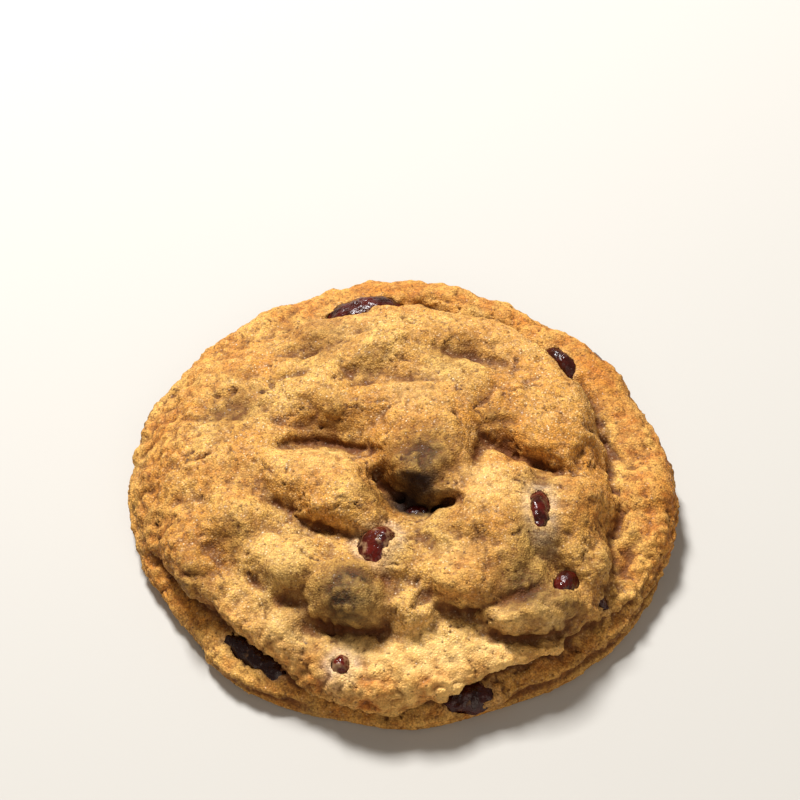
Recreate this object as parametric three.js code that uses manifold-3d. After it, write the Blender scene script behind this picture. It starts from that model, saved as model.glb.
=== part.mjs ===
// A thick, soft-baked chocolate chip cookie: one round of dough whose top has puffed up, folded and cracked,
// with chocolate chips sunk in its folds. Lengths are in millimetres, +Z is up, and the flat underside is at z = 0.
// The origin is the middle of the underside. -Y is the side that faces the viewer.
import * as THREE from "three";
import { mergeVertices } from "three/addons/utils/BufferGeometryUtils.js";
import { ImprovedNoise } from "three/addons/math/ImprovedNoise.js";
import Module from "manifold-3d";

const wasm = await Module();
wasm.setup();
const { degToRad, smoothstep, clamp } = THREE.MathUtils;

// The round: a flat slab that spread in the oven, with a thicker layer risen on it.
const RADIUS = 41; // of the slab, at its widest
const RIM_HEIGHT = 6.8; // where the slab's top meets its side
const RIM_SWELL = 1.9; // the rounded rim that stands clear of the upper layer
const EDGE_OVER = 3.6; // how far in from the widest line the side turns into the top
const LIP_OVER = 2.2; // the same under the front lip, whose edge is sharper
const EDGE_UNDER = 1.6; // how far in from the widest line the side meets the underside
const WIDEST_AT = 2.8; // height of the widest line
const CROWN = 1.6; // how much the whole top domes
const UPPER_RISE = 3.4; // height of the upper layer over the slab, before its folds
const FOLD_BLEND = 0.7; // width over which two folds run into each other
const STEP_CREASE = 1.6; // depth of the crease at the foot of the upper layer's step
const LUMP = 0.9; // height of the crust's lumps
const LUMP_SIZE = 6.5; // and their size
const CRUMB = 0.36; // height of its crumbs
const CRUMB_SIZE = 2.5; // and their size
const SLUMP = 0.34; // how far a fold leans to the front, over its height
const WANDER = 1.3; // how far the lines of the folds stray
const WANDER_SIZE = 8.5; // and over what length

// Where the outline is pulled in or pushed out: middle and reach in degrees from +X, depth outwards.
const OUTLINE_WAVES = [
  { at: 57, reach: 17, out: -2.0 },
  { at: 18, reach: 12, out: -1.3 },
  { at: -14, reach: 26, out: 1.0 },
  { at: -70, reach: 15, out: -1.2 },
  { at: -101, reach: 9, out: -1.0 },
  { at: -141, reach: 8, out: -1.1 },
  { at: -157, reach: 10, out: -0.6 },
  { at: 150, reach: 40, out: 0.7 },
  { at: 173, reach: 19, out: 1.0 },
  { at: 6, reach: 20, out: 0.7 },
];

// The upper layer's edge, as its distance from the middle in each direction. It falls short of the rim
// at the back and on the right, and hangs over the slab at the front.
const UPPER_EDGE = [
  [-180, 40], [-150, 39], [-136, 37.8], [-124, 38.6], [-114, 38], [-97, 40.2], [-87, 39.4], [-76, 38],
  [-66, 38.4], [-56, 39], [-46, 38], [-34, 35.6], [-20, 33], [0, 30.8], [40, 31.2], [80, 31.6], [104, 29.6],
  [125, 34], [150, 39], [180, 40],
];
const STEP_FROM = -32; // degrees: between these two the upper layer ends in a steep step
const STEP_TO = 118;
const LIP_FROM = -168; // and between these two in a lip that sinks towards the slab
const LIP_TO = -14;
const LIP_DROP = 2.1;

// Folds of the upper layer: rounded lobes of dough that crowd each other, with creases where they meet.
// at is the middle, half the half length and half width, turn the way the length points, rise the height.
const FOLDS = [
  { at: [0, -6.4], half: [35, 26.4], turn: 0, rise: 2.2 }, // the body under them all
  { at: [3, 15], half: [31, 16.5], turn: -5, rise: 4.4 }, // the big fold across the back
  { at: [3.4, -0.4], half: [8.8, 9.8], turn: 0, rise: 5.6 }, // its tongue over the hollow in the middle
  { at: [22.5, 5.6], half: [10.5, 9.2], turn: -62, rise: 5.1 },
  { at: [-28, 2], half: [14, 20], turn: -8, rise: 4.0 }, // the left flank
  { at: [-11.8, -7.6], half: [13, 6.6], turn: -33, rise: 5.5 }, // the smooth fold on the left
  { at: [-25.5, -11], half: [9, 6.8], turn: -60, rise: 4.2 },
  { at: [-31, -17], half: [8, 5.5], turn: -66, rise: 3.2 },
  { at: [-16, -20.4], half: [8.4, 4.6], turn: -14, rise: 4.6 },
  { at: [-7.8, -24.2], half: [7.2, 5.4], turn: -14, rise: 5.3 }, // a chip under a skin of dough
  { at: [-22, -27], half: [10, 5], turn: -36, rise: 2.6 },
  { at: [0.6, -20], half: [5, 5.6], turn: 0, rise: 3.8 },
  { at: [1.4, -27.4], half: [4.4, 3], turn: 10, rise: 3.7 },
  { at: [13, -13.4], half: [13.6, 11], turn: 108, rise: 5.0 }, // the big fold on the right
  { at: [24.4, -10.2], half: [5.4, 6.8], turn: 12, rise: 5.1 },
  { at: [26.6, -17.6], half: [5.4, 7], turn: 18, rise: 3.8 },
  { at: [7.4, -22.6], half: [7.6, 4.8], turn: -8, rise: 4.7 }, // its lower lip
  { at: [17.4, -26], half: [8.4, 4.4], turn: 12, rise: 4.6 },
  { at: [28.4, -23.4], half: [9, 4.6], turn: 56, rise: 2.8 },
  { at: [0, -35], half: [30, 5.6], turn: 3, rise: 1.0 }, // the lip along the front
  { at: [20.6, -31.6], half: [10, 5], turn: 31, rise: 1.9 }, // and round to the right
];

// Creases where a fold rolls over its neighbour: a line through three points, how far it spreads to the
// front, and its depth. Behind the line it closes in half that distance, under the fold.
const CREASES = [
  { through: [[-17, 0.8], [-10, 1.2], [-4.4, -1.6]], wide: 1.6, deep: 2.4 },
  { through: [[-3.4, -5.4], [2.6, -10.8], [7.4, -10]], wide: 1.8, deep: 4.0 },
  { through: [[9.4, -8], [11.4, -3], [12.6, 1.4]], wide: 1.5, deep: 0.9 },
  { through: [[-17.4, -9.8], [-13, -13.8], [-5, -15.2]], wide: 1.6, deep: 1.8 },
  { through: [[12.4, 2], [17.3, -2.4], [25, -4.4]], wide: 1.4, deep: 1.8 },
  { through: [[3.4, -26], [9, -27.8], [13.4, -25.8]], wide: 1.4, deep: 1.5 },
  { through: [[13.4, -26], [18.4, -23.8], [23.6, -22.6]], wide: 1.4, deep: 1.5 },
  { through: [[10.6, -28.2], [17.2, -30.4], [24.8, -26.8]], wide: 1.5, deep: 1.6 },
  { through: [[-13.4, -28], [-7.6, -30.2], [-2.4, -29.8]], wide: 1.5, deep: 1.3 },
  { through: [[-12, -18.6], [-6, -22.6], [1, -23]], wide: 1.5, deep: 1.1 },
  { through: [[2.8, -16.4], [2.2, -20], [3.4, -25]], wide: 1.4, deep: 1.0 },
];

// Shallow dips and swells of the crust between the creases, laid out as the folds are.
const DIPS = [
  { at: [-4.4, 13.6], half: [6, 2.1], turn: -4, rise: -2.2 },
  { at: [-15.2, 18.4], half: [5, 1.5], turn: 8, rise: -1.6 },
  { at: [-2, 19.6], half: [7, 3], turn: -6, rise: 1.0 },
  { at: [11, 17.4], half: [7, 2.4], turn: -10, rise: -2.0 },
  { at: [18.5, 12.4], half: [5, 2], turn: -30, rise: -1.4 },
  { at: [-12, 9.4], half: [9, 3], turn: 2, rise: 0.9 },
  { at: [-9.6, 3.0], half: [8, 2.6], turn: -8, rise: -1.3 },
  { at: [4.3, 7], half: [6, 3.4], turn: -4, rise: 1.4 },
  { at: [-26.4, 8], half: [5, 3.4], turn: 20, rise: -1.3 },
  { at: [-30, 14], half: [4, 6], turn: 20, rise: 0.6 },
  { at: [12.4, 4.4], half: [2, 3], turn: 20, rise: -1.1 },
  { at: [-26, -16.6], half: [3, 2.4], turn: 40, rise: -1.4 },
  { at: [-29.4, -10], half: [2.4, 2.4], turn: 0, rise: -1.0 },
  { at: [18, 5], half: [4.5, 3], turn: 30, rise: -0.6 },
  { at: [34, -10], half: [3, 3], turn: 0, rise: -1.3 },
  { at: [35.4, 3], half: [3, 4], turn: 0, rise: -1.0 },
  { at: [33, -17], half: [2.6, 4], turn: 30, rise: -0.9 },
];

// Seams that run round the side, one over the other: the line as heights in named directions (degrees
// from +X), its width up the side, and its depth. The first is the groove under the front lip.
const SEAMS = [
  { line: [[-165, 4.8], [-140, 5.2], [-120, 4.6], [-106, 3.0], [-94, 2.4], [-84, 3.6], [-72, 4.9], [-50, 5.0], [-26, 4.6]], wide: 1.0, deep: 3.3 },
  { line: [[-132, 2.4], [-112, 1.9], [-100, 1.4]], wide: 0.7, deep: 0.9 },
  { line: [[-80, 2.2], [-50, 2.6], [-20, 2.2], [8, 2.8]], wide: 0.8, deep: 1.2 },
  { line: [[24, 3.6], [60, 2.9], [100, 4.4], [140, 3.2], [178, 3.9]], wide: 1.0, deep: 0.9 },
];

// Chips: where the middle of each one is, its size over its length, width and height, and how it lies.
const CHIPS = {
  chip_top: { at: [-6.2, 30.4, 7.2], size: [15, 9, 6.4], turn: 12, tilt: -8 },
  chip_top_right: { at: [25.5, 20.8, 6.4], size: [9.6, 4.2, 5.8], turn: -56, tilt: 0 },
  chip_hollow: { at: [2.6, -9.9, 7.9], size: [7.6, 6.2, 6], turn: 8, tilt: 0 },
  chip_left_fold: { at: [-3.2, -17.6, 12.2], size: [8, 6.6, 6.6], turn: 78, tilt: 20 },
  chip_right_fold: { at: [19.6, -12.8, 12.1], size: [12, 4.6, 8], turn: 86, tilt: 0 },
  chip_right_crease: { at: [22.6, -22.6, 9.0], size: [7.4, 3.8, 6], turn: 50, tilt: -16 },
  chip_front_small: { at: [-8.4, -33.8, 6.9], size: [3.2, 3.2, 5.0], turn: 0, tilt: 0 },
  chip_right_small: { at: [28.4, -22.8, 5.4], size: [2.2, 2.2, 4.0], turn: 0, tilt: 0 },
  chip_front_left: { at: [-20.9, -29.6, 3.8], size: [12, 3.6, 2.2], turn: -37, tilt: 0 },
  chip_front_right: { at: [9.6, -35.8, 3.1], size: [8.4, 3.8, 2.8], turn: 10, tilt: 0 },
  chip_back_left: { at: [-31.6, 20.6, 3.8], size: [8, 6, 4.8], turn: 57, tilt: 0 },
  chip_back: { at: [3.4, 38.4, 3.6], size: [9, 5, 4.6], turn: -5, tilt: 0 },
  chip_back_right: { at: [30.4, 23.4, 3.6], size: [6.4, 5, 4.6], turn: -53, tilt: 0 },
};
const CHIP_GAP = 0.3; // between a chip and the pocket that it sits in

const noise = new ImprovedNoise();

/** How strongly an angle lies within reach of a middle angle: 1 there, 0 well away, all in degrees. */
function near(angle, middle, reach) {
  const apart = Math.abs(((angle - middle + 540) % 360) - 180);
  return Math.exp(-((apart / reach) ** 2));
}

/** 1 between two angles in degrees, and 0 outside, with ends that fade over a soft stretch. */
function within(angle, from, to, soft = 9) {
  return smoothstep(angle, from, from + soft) * (1 - smoothstep(angle, to - soft, to));
}

/** The larger of two heights, with the corner between them rounded over a width. */
function roundedMax(a, b, width) {
  const overlap = Math.max(width - Math.abs(a - b), 0) / width;
  return Math.max(a, b) + (overlap * overlap * width) / 4;
}

/** Distance from the middle to the slab's widest line in a direction given in degrees. */
function outline(angle) {
  return RADIUS + OUTLINE_WAVES.reduce((sum, w) => sum + w.out * near(angle, w.at, w.reach), 0);
}

/** The value at an angle on a line given as angle and value pairs, eased from one pair to the next. */
function eased(line, angle) {
  const next = line.findIndex(([at], i) => i > 0 && angle <= at);
  const [[fromAt, from], [toAt, to]] = [line[next - 1], line[next]];
  return from + (to - from) * smoothstep(angle, fromAt, toAt);
}

/** Distance from the middle to the upper layer's edge in a direction given in degrees. */
function upperEdge(angle) {
  return eased(UPPER_EDGE, angle);
}

/** Height of the upper layer over the slab, before its folds: a dome, but flatter where its edge is steep. */
function upperLayer(radius, angle) {
  const out = radius / upperEdge(angle);
  if (out >= 1) return 0;
  const steep = within(angle, STEP_FROM, STEP_TO, 25) + within(angle, LIP_FROM, LIP_TO, 30);
  return UPPER_RISE * (1 - out ** (3 + 7 * steep)) ** (1 - 0.5 * steep);
}

/** How far out a point is in a turned oval, squared: 0 in its middle, 1 on its edge. */
function ovalOut(oval, x, y) {
  const turn = degToRad(oval.turn);
  const [dx, dy] = [x - oval.at[0], y - oval.at[1]];
  const along = (dx * Math.cos(turn) + dy * Math.sin(turn)) / oval.half[0];
  const across = (dy * Math.cos(turn) - dx * Math.sin(turn)) / oval.half[1];
  return along * along + across * across;
}

/** Height of one fold at a point. */
function foldHeight(fold, x, y) {
  return fold.rise * Math.max(1 - ovalOut(fold, x, y) ** 1.5, 0) ** 0.6;
}

/** A crease's line as short steps, ready for distances. */
function creaseLine(crease) {
  const [start, middle, end] = crease.through.map(([x, y]) => new THREE.Vector3(x, y, 0));
  return new THREE.CatmullRomCurve3([start, middle, end]).getPoints(14);
}
const creaseLines = CREASES.map(creaseLine);

/** How deep the creases cut at a point: steep behind the line, easy in front of it. */
function creaseDepth(x, y) {
  let deepest = 0;
  CREASES.forEach((crease, i) => {
    const gaps = creaseLines[i].map((p) => [Math.hypot(p.x - x, p.y - y), y - p.y]);
    const [apart, behind] = gaps.reduce((nearest, gap) => (gap[0] < nearest[0] ? gap : nearest));
    const wide = crease.wide * (1 - 0.5 * smoothstep(behind / Math.max(apart, 0.01), -0.5, 0.5));
    deepest = Math.max(deepest, crease.deep * Math.exp(-((apart / wide) ** 2)));
  });
  return deepest;
}

/** A point moved a little, so that what is read there wanders. */
function strayed(x, y) {
  const sway = (shift, size) => noise.noise(x / size, y / size, shift);
  return [
    x + WANDER * (sway(1.7, WANDER_SIZE) + 0.5 * sway(5.1, WANDER_SIZE / 2.4)),
    y + WANDER * (sway(8.2, WANDER_SIZE) + 0.5 * sway(12.6, WANDER_SIZE / 2.4)),
  ];
}

/** Height of the top over the slab's rim at a point, and how far the fold there has slumped forward. */
function topRelief(placeX, placeY) {
  const [x, y] = strayed(placeX, placeY);
  const radius = Math.hypot(x, y);
  const angle = THREE.MathUtils.radToDeg(Math.atan2(y, x));
  const upper = upperLayer(radius, angle);
  const inside = smoothstep(upper, 0, 1.2);
  const folds = FOLDS.reduce((high, fold) => roundedMax(high, foldHeight(fold, x, y), FOLD_BLEND), 0);
  const swell = (radius - (upperEdge(angle) + outline(angle)) / 2) / ((outline(angle) - upperEdge(angle)) / 2 + 1);
  const rim = RIM_SWELL * Math.max(0, 1 - swell * swell) * within(angle, STEP_FROM, STEP_TO, 25);
  const crown = CROWN * (1 - (radius / RADIUS) ** 2);
  const dips = DIPS.reduce((sum, dip) => sum + dip.rise * Math.exp(-ovalOut(dip, x, y)), 0);
  const foot = Math.exp(-(((radius - upperEdge(angle)) / 1.3) ** 2)) * within(angle, STEP_FROM, STEP_TO, 25);
  const drop = LIP_DROP * within(angle, LIP_FROM, LIP_TO, 45) * smoothstep(radius, 22, 36);
  const creased = inside * creaseDepth(x, y) + STEP_CREASE * foot;
  return {
    lift: crown - drop + roundedMax(rim, upper + inside * folds, FOLD_BLEND) + dips - creased,
    slump: SLUMP * inside * (folds - creased - 3),
  };
}

/** How far the side is pressed in at a height, in a direction given in degrees. */
function seamDepth(angle, height) {
  return SEAMS.reduce((sum, seam) => {
    const [first, last] = [seam.line[0][0], seam.line[seam.line.length - 1][0]];
    if (angle <= first || angle >= last) return sum;
    const off = (height - eased(seam.line, angle)) / seam.wide;
    return sum + seam.deep * Math.exp(-off * off) * within(angle, first, last, 14);
  }, 0);
}

// How much of a sphere's polar angle goes to the top, the side and the underside.
const TOP_SHARE = degToRad(108);
const SIDE_SHARE = degToRad(153);
const DETAIL = 21; // of the sphere that is shaped into the round

/** The slab's plain section in one direction: distance out and height, for a polar angle of the sphere. */
function section(polar, reach, edgeOver) {
  if (polar <= TOP_SHARE) return [(polar / TOP_SHARE) * (reach - edgeOver), RIM_HEIGHT];
  if (polar >= SIDE_SHARE) {
    return [((Math.PI - polar) / (Math.PI - SIDE_SHARE)) * (reach - EDGE_UNDER), 0];
  }
  const down = (polar - TOP_SHARE) / (SIDE_SHARE - TOP_SHARE);
  const swing = (0.5 - down) * Math.PI; // from straight up to straight down
  const over = Math.sin(swing) > 0;
  const inset = over ? edgeOver : EDGE_UNDER;
  const tall = over ? RIM_HEIGHT - WIDEST_AT : WIDEST_AT;
  return [reach - inset + inset * Math.cos(swing), WIDEST_AT + tall * Math.sin(swing)];
}

/** Moves a point of the unit sphere to its place on the cookie. */
function shapePoint(point) {
  const polar = Math.acos(clamp(point.z, -1, 1));
  const turn = Math.atan2(point.y, point.x);
  const angle = THREE.MathUtils.radToDeg(turn);
  const edgeOver = EDGE_OVER + (LIP_OVER - EDGE_OVER) * within(angle, LIP_FROM, LIP_TO, 30);
  const [out, height] = section(polar, outline(angle), edgeOver);
  const raised = smoothstep(height / RIM_HEIGHT, 0.3, 1);
  const relief = topRelief(out * Math.cos(turn), out * Math.sin(turn));
  const tall = height + raised * relief.lift;
  const onSide = smoothstep(polar, TOP_SHARE * 0.9, TOP_SHARE) * smoothstep(height, 0, 0.6);
  const reach = out - onSide * seamDepth(angle, tall);
  point.set(reach * Math.cos(turn), reach * Math.sin(turn) - raised * relief.slump, tall);
  if (height > 0) {
    const lump = (size, shift) => noise.noise(point.x / size, point.y / size, point.z / size + shift);
    const rough = LUMP * lump(LUMP_SIZE, 9.1) + CRUMB * lump(CRUMB_SIZE, 3.3);
    const outwards = new THREE.Vector3(point.x, point.y, raised * RADIUS).normalize();
    point.addScaledVector(outwards, rough * smoothstep(height, 0, 1));
  }
}

/** A closed solid from a geometry, with its places merged. */
function toSolid(geometry) {
  const bare = geometry.clone();
  bare.deleteAttribute("normal");
  bare.deleteAttribute("uv");
  const merged = mergeVertices(bare, 1e-4);
  return new wasm.Manifold(
    new wasm.Mesh({
      numProp: 3,
      vertProperties: merged.attributes.position.array,
      triVerts: new Uint32Array(merged.index.array),
    }),
  );
}

/** A geometry from a solid. */
function toGeometry(solid) {
  const mesh = solid.getMesh();
  const geometry = new THREE.BufferGeometry();
  geometry.setAttribute("position", new THREE.BufferAttribute(mesh.vertProperties, 3));
  geometry.setIndex(new THREE.BufferAttribute(mesh.triVerts, 1));
  geometry.computeVertexNormals();
  return geometry;
}

/** The round of dough before the chips are pressed in: a sphere shaped point by point. */
function makeRound() {
  const geometry = new THREE.IcosahedronGeometry(1, DETAIL);
  const places = geometry.attributes.position;
  const point = new THREE.Vector3();
  for (let i = 0; i < places.count; i += 1) {
    shapePoint(point.fromBufferAttribute(places, i).normalize());
    places.setXYZ(i, point.x, point.y, point.z);
  }
  return toSolid(geometry);
}

/** A chip as it leaves the oven: a drop whose tip has slumped, with a rounded foot. grown is added all round. */
function chipShape(chip, grown) {
  const profile = [
    [0, -0.5],
    [0.36, -0.48],
    [0.49, -0.28],
    [0.46, 0.02],
    [0.33, 0.28],
    [0.15, 0.45],
    [0, 0.5],
  ].map(([out, up]) => new THREE.Vector2(out, up));
  const geometry = new THREE.LatheGeometry(profile, 12);
  const [long, wide, tall] = chip.size;
  geometry.rotateX(Math.PI / 2);
  geometry.scale(long + 2 * grown, wide + 2 * grown, tall + 2 * grown);
  geometry.rotateY(degToRad(chip.tilt));
  geometry.rotateZ(degToRad(chip.turn));
  geometry.translate(...chip.at);
  return geometry;
}

const crust = new THREE.MeshStandardMaterial({ color: 0xc48a45, roughness: 0.82, metalness: 0 });
const chocolate = new THREE.MeshStandardMaterial({ color: 0x3a1a12, roughness: 0.35, metalness: 0 });

const cookie = new THREE.Group();
let dough = makeRound();
for (const [name, chip] of Object.entries(CHIPS)) {
  dough = dough.subtract(toSolid(chipShape(chip, CHIP_GAP)));
  const mesh = new THREE.Mesh(chipShape(chip, 0), chocolate);
  mesh.name = name;
  cookie.add(mesh);
}
const doughMesh = new THREE.Mesh(toGeometry(dough), crust);
doughMesh.name = "dough";
cookie.add(doughMesh);

// Centre the whole over the origin.
const middle = new THREE.Box3().setFromObject(cookie).getCenter(new THREE.Vector3());
cookie.children.forEach((mesh) => mesh.geometry.translate(-middle.x, -middle.y, 0));

export default cookie;
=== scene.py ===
"""A thick, soft-baked chocolate chip cookie on a pale floor.

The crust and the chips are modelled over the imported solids, in metres, with +Z up.
"""

import math

import bpy
import numpy as np
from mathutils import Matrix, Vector, noise
from mathutils.kdtree import KDTree


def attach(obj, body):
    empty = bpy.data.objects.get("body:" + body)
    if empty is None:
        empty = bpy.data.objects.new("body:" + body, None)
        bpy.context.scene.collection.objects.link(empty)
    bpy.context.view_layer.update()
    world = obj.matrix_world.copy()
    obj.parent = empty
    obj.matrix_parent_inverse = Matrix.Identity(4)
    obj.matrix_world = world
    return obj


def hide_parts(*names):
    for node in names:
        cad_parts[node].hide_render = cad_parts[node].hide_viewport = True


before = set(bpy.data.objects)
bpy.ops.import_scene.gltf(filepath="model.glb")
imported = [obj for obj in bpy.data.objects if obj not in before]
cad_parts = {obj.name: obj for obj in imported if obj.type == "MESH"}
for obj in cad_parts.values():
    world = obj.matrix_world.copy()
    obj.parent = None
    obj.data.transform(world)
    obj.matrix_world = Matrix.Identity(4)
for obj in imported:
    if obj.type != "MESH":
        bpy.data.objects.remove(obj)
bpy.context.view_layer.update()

bl_info = {
    "name": "Chocolate Chip Cookie",
    "version": (1, 0, 0),
    "blender": (4, 5, 0),
    "location": "3D View > Sidebar > Cookie",
    "description": "Bakes a crust and sinks chocolate chips in it",
    "category": "Add Mesh",
}

MM = 0.001
CHIP_NODES = sorted(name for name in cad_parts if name.startswith("chip_"))

# The chips that left a pale smear on the dough round them.
SMEARED = ("chip_left_fold", "chip_right_fold", "chip_front_small")

# How far a film of dough covers a chip, and how thin and so how red its chocolate is. The other chips have no
# more film than chance gives, and are a little red.
FILMED = {
    "chip_front_small": 0.24, "chip_left_fold": 0.1, "chip_right_small": 0.1,
    "chip_front_left": 0.02, "chip_front_right": 0.05,
}
REDDENED = {
    "chip_top": 0.5, "chip_left_fold": 0.85, "chip_right_fold": 0.85, "chip_front_small": 0.8,
    "chip_right_crease": 0.6, "chip_front_left": 0.0,
}
LITTLE_RED = 0.3

# Creases where a fold of dough rolls over its neighbour: points on the crust in mm, how thick the groove
# is in the middle, and how deep its middle lies under the crust. Each is cut in under the higher fold.
CREASES = [
    {"through": [(-17.4, 0.4), (-13.4, 1.4), (-10, 1.2), (-7, 0.2), (-4.0, -2.0)], "thick": 0.9, "deep": 0.06},
    {"through": [(-3.8, -5), (-1, -8.6), (2.6, -10.8), (5, -10.6), (8, -9.4)], "thick": 2.4, "deep": 0.24},
    {"through": [(9.2, -8.4), (10.6, -5.4), (11.4, -3), (12.2, -0.6), (12.8, 2)], "thick": 0.7, "deep": 0.08},
    {"through": [(-18, -9), (-15.4, -12), (-13, -13.8), (-9, -15), (-4.6, -15.2)], "thick": 1.1, "deep": 0.06},
    {"through": [(12.2, 2.4), (14.8, -0.6), (17.3, -2.4), (21, -3.8), (25.6, -4.4)], "thick": 1.1, "deep": 0.1},
    {"through": [(3, -25.4), (6, -27), (9, -27.8), (11.4, -27), (13.6, -25.6)], "thick": 1.1, "deep": 0.14},
    {"through": [(13.4, -26), (16, -24.8), (18.4, -23.8), (21, -23), (24, -22.4)], "thick": 0.8, "deep": 0.12},
    {"through": [(10.4, -28), (13.8, -29.6), (17.2, -30.4), (21, -29.2), (25, -26.6)], "thick": 1.3, "deep": 0.07},
    {"through": [(-13.8, -27.4), (-10.4, -29.4), (-7.6, -30.2), (-5, -30.2), (-1.8, -29.6)], "thick": 1.0, "deep": 0.12},
    {"through": [(6.6, 30.9), (15.7, 27.2), (22.1, 22.1), (27, 15.6), (30.2, 6.6)], "thick": 1.1, "deep": 0.12},
]

# Seams between the layers of the side: directions in degrees from +X with heights in mm, and how thick the
# groove is. The first runs under the front lip.
SEAMS = [
    {"heights": [(-162, 4.8), (-140, 5.2), (-120, 4.6), (-106, 3.2), (-94, 2.8),
                 (-84, 3.8), (-72, 4.9), (-50, 5.0), (-28, 4.6)], "thick": 1.1},
    {"heights": [(-130, 2.4), (-112, 1.9), (-98, 1.5)], "thick": 0.6},
    {"heights": [(-78, 2.2), (-50, 2.6), (-20, 2.2), (6, 2.8)], "thick": 0.8},
    {"heights": [(26, 3.6), (60, 2.9), (100, 4.4), (140, 3.2), (176, 3.9)], "thick": 0.7},
]

# Small dents and lumps of the crust, in mm: middle, half length, half width, the way the length points in
# degrees, and height, below 0 for a dent.
DENTS = [
    (-28.2, 9.9, 0.45, 0.35, 0, -0.8), (-25.6, 10.4, 0.6, 0.3, 60, -0.8), (-30.4, 2.4, 0.7, 0.4, 60, -0.6),
    (-29.6, -2.4, 1.7, 0.4, 24, -0.9), (-25.6, 6.4, 3.2, 2.0, 10, -0.8), (-19.6, 5.2, 3.4, 1.2, -50, -0.8),
    (-17.4, 12.6, 2.6, 0.6, 14, -0.7), (-14.6, 17.6, 1.6, 0.5, 24, -0.7), (8.2, 3.2, 0.35, 0.55, 0, -1.1),
    (12.8, 6.8, 2.0, 0.5, 50, -0.5), (14.4, 3.6, 1.6, 1.4, 0, 0.6), (-24.9, -3.4, 1.8, 1.4, 30, 0.5),
    (-21.6, -4.0, 0.4, 0.4, 0, -0.6), (31.5, -12.3, 0.5, 0.4, 0, -0.6), (33.2, 1.6, 3.0, 0.9, -52, -0.7),
    (29.6, 3.4, 2.6, 0.8, 20, -0.6), (36.0, -5.4, 2.8, 0.8, -70, -0.6), (33.4, -6.4, 2.0, 1.6, 0, 0.6),
    (29.4, -3.6, 2.2, 1.6, 0, 0.6), (26.6, -2.6, 2.4, 0.7, 60, -0.6), (22.6, 6.6, 3.0, 1.0, 30, -0.4),
    (8.4, 17.0, 4.0, 0.9, -6, -0.6), (15.6, 15.4, 2.6, 0.7, -28, -0.6), (1.4, 14.4, 3.0, 0.7, -20, -0.5),
    (-10.8, 9.4, 3.2, 0.8, -12, -0.5), (-5.4, 21.6, 3.4, 0.8, 8, -0.4), (3.4, -17.4, 2.6, 0.9, -60, -0.5),
    (7.6, -17.6, 3.4, 0.8, -30, -0.5), (12.6, -18.8, 3.0, 0.8, -24, -0.5), (-14.6, -26.2, 2.8, 0.8, -10, -0.6),
    (-20.4, -23.2, 2.2, 0.8, -40, -0.6), (-27.6, -21.4, 1.6, 0.9, 0, -0.6), (-32.6, -8.8, 2.2, 0.8, 40, -0.5),
    (-34.4, 3.4, 2.4, 0.8, 80, -0.4), (2.6, -27.4, 1.6, 0.8, 60, -0.6), (28.4, -16.4, 2.6, 0.8, 60, -0.6),
    (30.6, -19.4, 2.4, 0.7, 50, -0.6), (33.4, -15.4, 2.6, 0.8, 70, -0.5), (4.4, 8.8, 3.6, 1.0, -8, 0.4),
    (-7.4, 5.6, 4.2, 1.0, -6, 0.4), (-3.4, 17.2, 4.2, 1.0, -6, 0.4), (-24.4, 15.4, 3.4, 1.2, 40, 0.3),
]

# Patches of the crust, in mm: middle, reach and strength. Toasted ones are orange-brown, where the dough
# is thin and took the most heat; pale ones baked least, and the strong ones along the front lip are painted
# light; greyed ones have a chip close under the skin or rubbed off on it, and the darkest also paint the
# shade under the folds.
TOASTED = [
    (-12, -37, 5, 0.9), (-4, -39.6, 6, 0.9), (4, -38, 4, 0.7), (12, -36.6, 4, 0.8), (20, -33, 4, 0.4),
    (-26, -27, 3, 0.5), (-18, -34, 4, 0.6), (-36, -12, 6, 0.5), (-38, 4, 7, 0.5), (27, -13, 4, 0.5),
    (24.4, -9.6, 2, 0.7), (-9, 26.6, 5, 0.5), (34, -16, 6, 0.5), (30, -27, 5, 0.5), (-32, 14, 8, 0.45),
    (-23, -8, 4, 0.45), (9, 27, 4, 0.2), (-3, 29, 5, 0.4), (-27, 22, 7, 0.4), (-28, -6, 4, 0.4),
    (16, -1, 2.4, 0.5), (19, -3, 2.4, 0.5), (31, -4, 4, 0.35), (-13, -5, 5, 0.3), (7, -25, 4, 0.4),
]
PALE = [
    (-16, -31.5, 5, 1.0), (-6, -34, 6, 1.4), (5, -35.5, 6, 1.5), (13, -32.5, 5, 1.4), (21, -29.5, 4, 0.9),
    (-23, -26, 5, 0.4), (12.6, -8.6, 4.6, 0.7), (-12, -4.6, 5, 0.4), (2, 8, 4.6, 0.5), (22, -9.4, 3, 0.5),
    (-17, -20, 4, 0.4), (8, -21, 4, 0.4), (-8, 24, 6, 0.3), (16, 19, 6, 0.3),
]
GREYED = [
    (-7.2, -26.6, 4.8, 1.3), (3, -5.2, 5.2, 1.1), (-4, -10.6, 3.0, 0.6), (19.6, -17.4, 4.6, 0.7),
    (22.6, -26, 4, 0.7), (14, 3.8, 2.6, 0.6), (-26, 6.6, 4, 0.6), (-16, -25.4, 5, 0.4), (-11, 3.4, 5, 0.5),
    (-31, -22, 5, 0.5), (20.4, -8, 3, 0.5), (11, -19, 3.6, 0.3), (24, -12.6, 3, 0.3), (-24, -16, 3, 0.6),
    (8, 16, 6, 0.35), (-5, 13.6, 4, 0.4), (27, -20, 4, 0.4), (-24, 9.6, 4, 0.35), (-13, -29, 4, 0.4),
    (2, 9.4, 5, 0.25), (6, -16, 5, 0.3), (17.4, -25.0, 5, 1.0), (-13, 21, 6, 0.5), (29, 11, 3, 0.35),
    (-2, -19, 4, 0.35),
]
# Painted shade over and in the hollow: its front-facing dough is dark partly from a chip, its floor only as shade.
RUBBED_AND_SHADED = (3, -7.6, 4.6)  # the dough's underside over the hollow, black-brown from the chip there
HOLLOW = (1.6, -9.4, 4.2)  # and the hollow's floor, which is as dark


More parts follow.
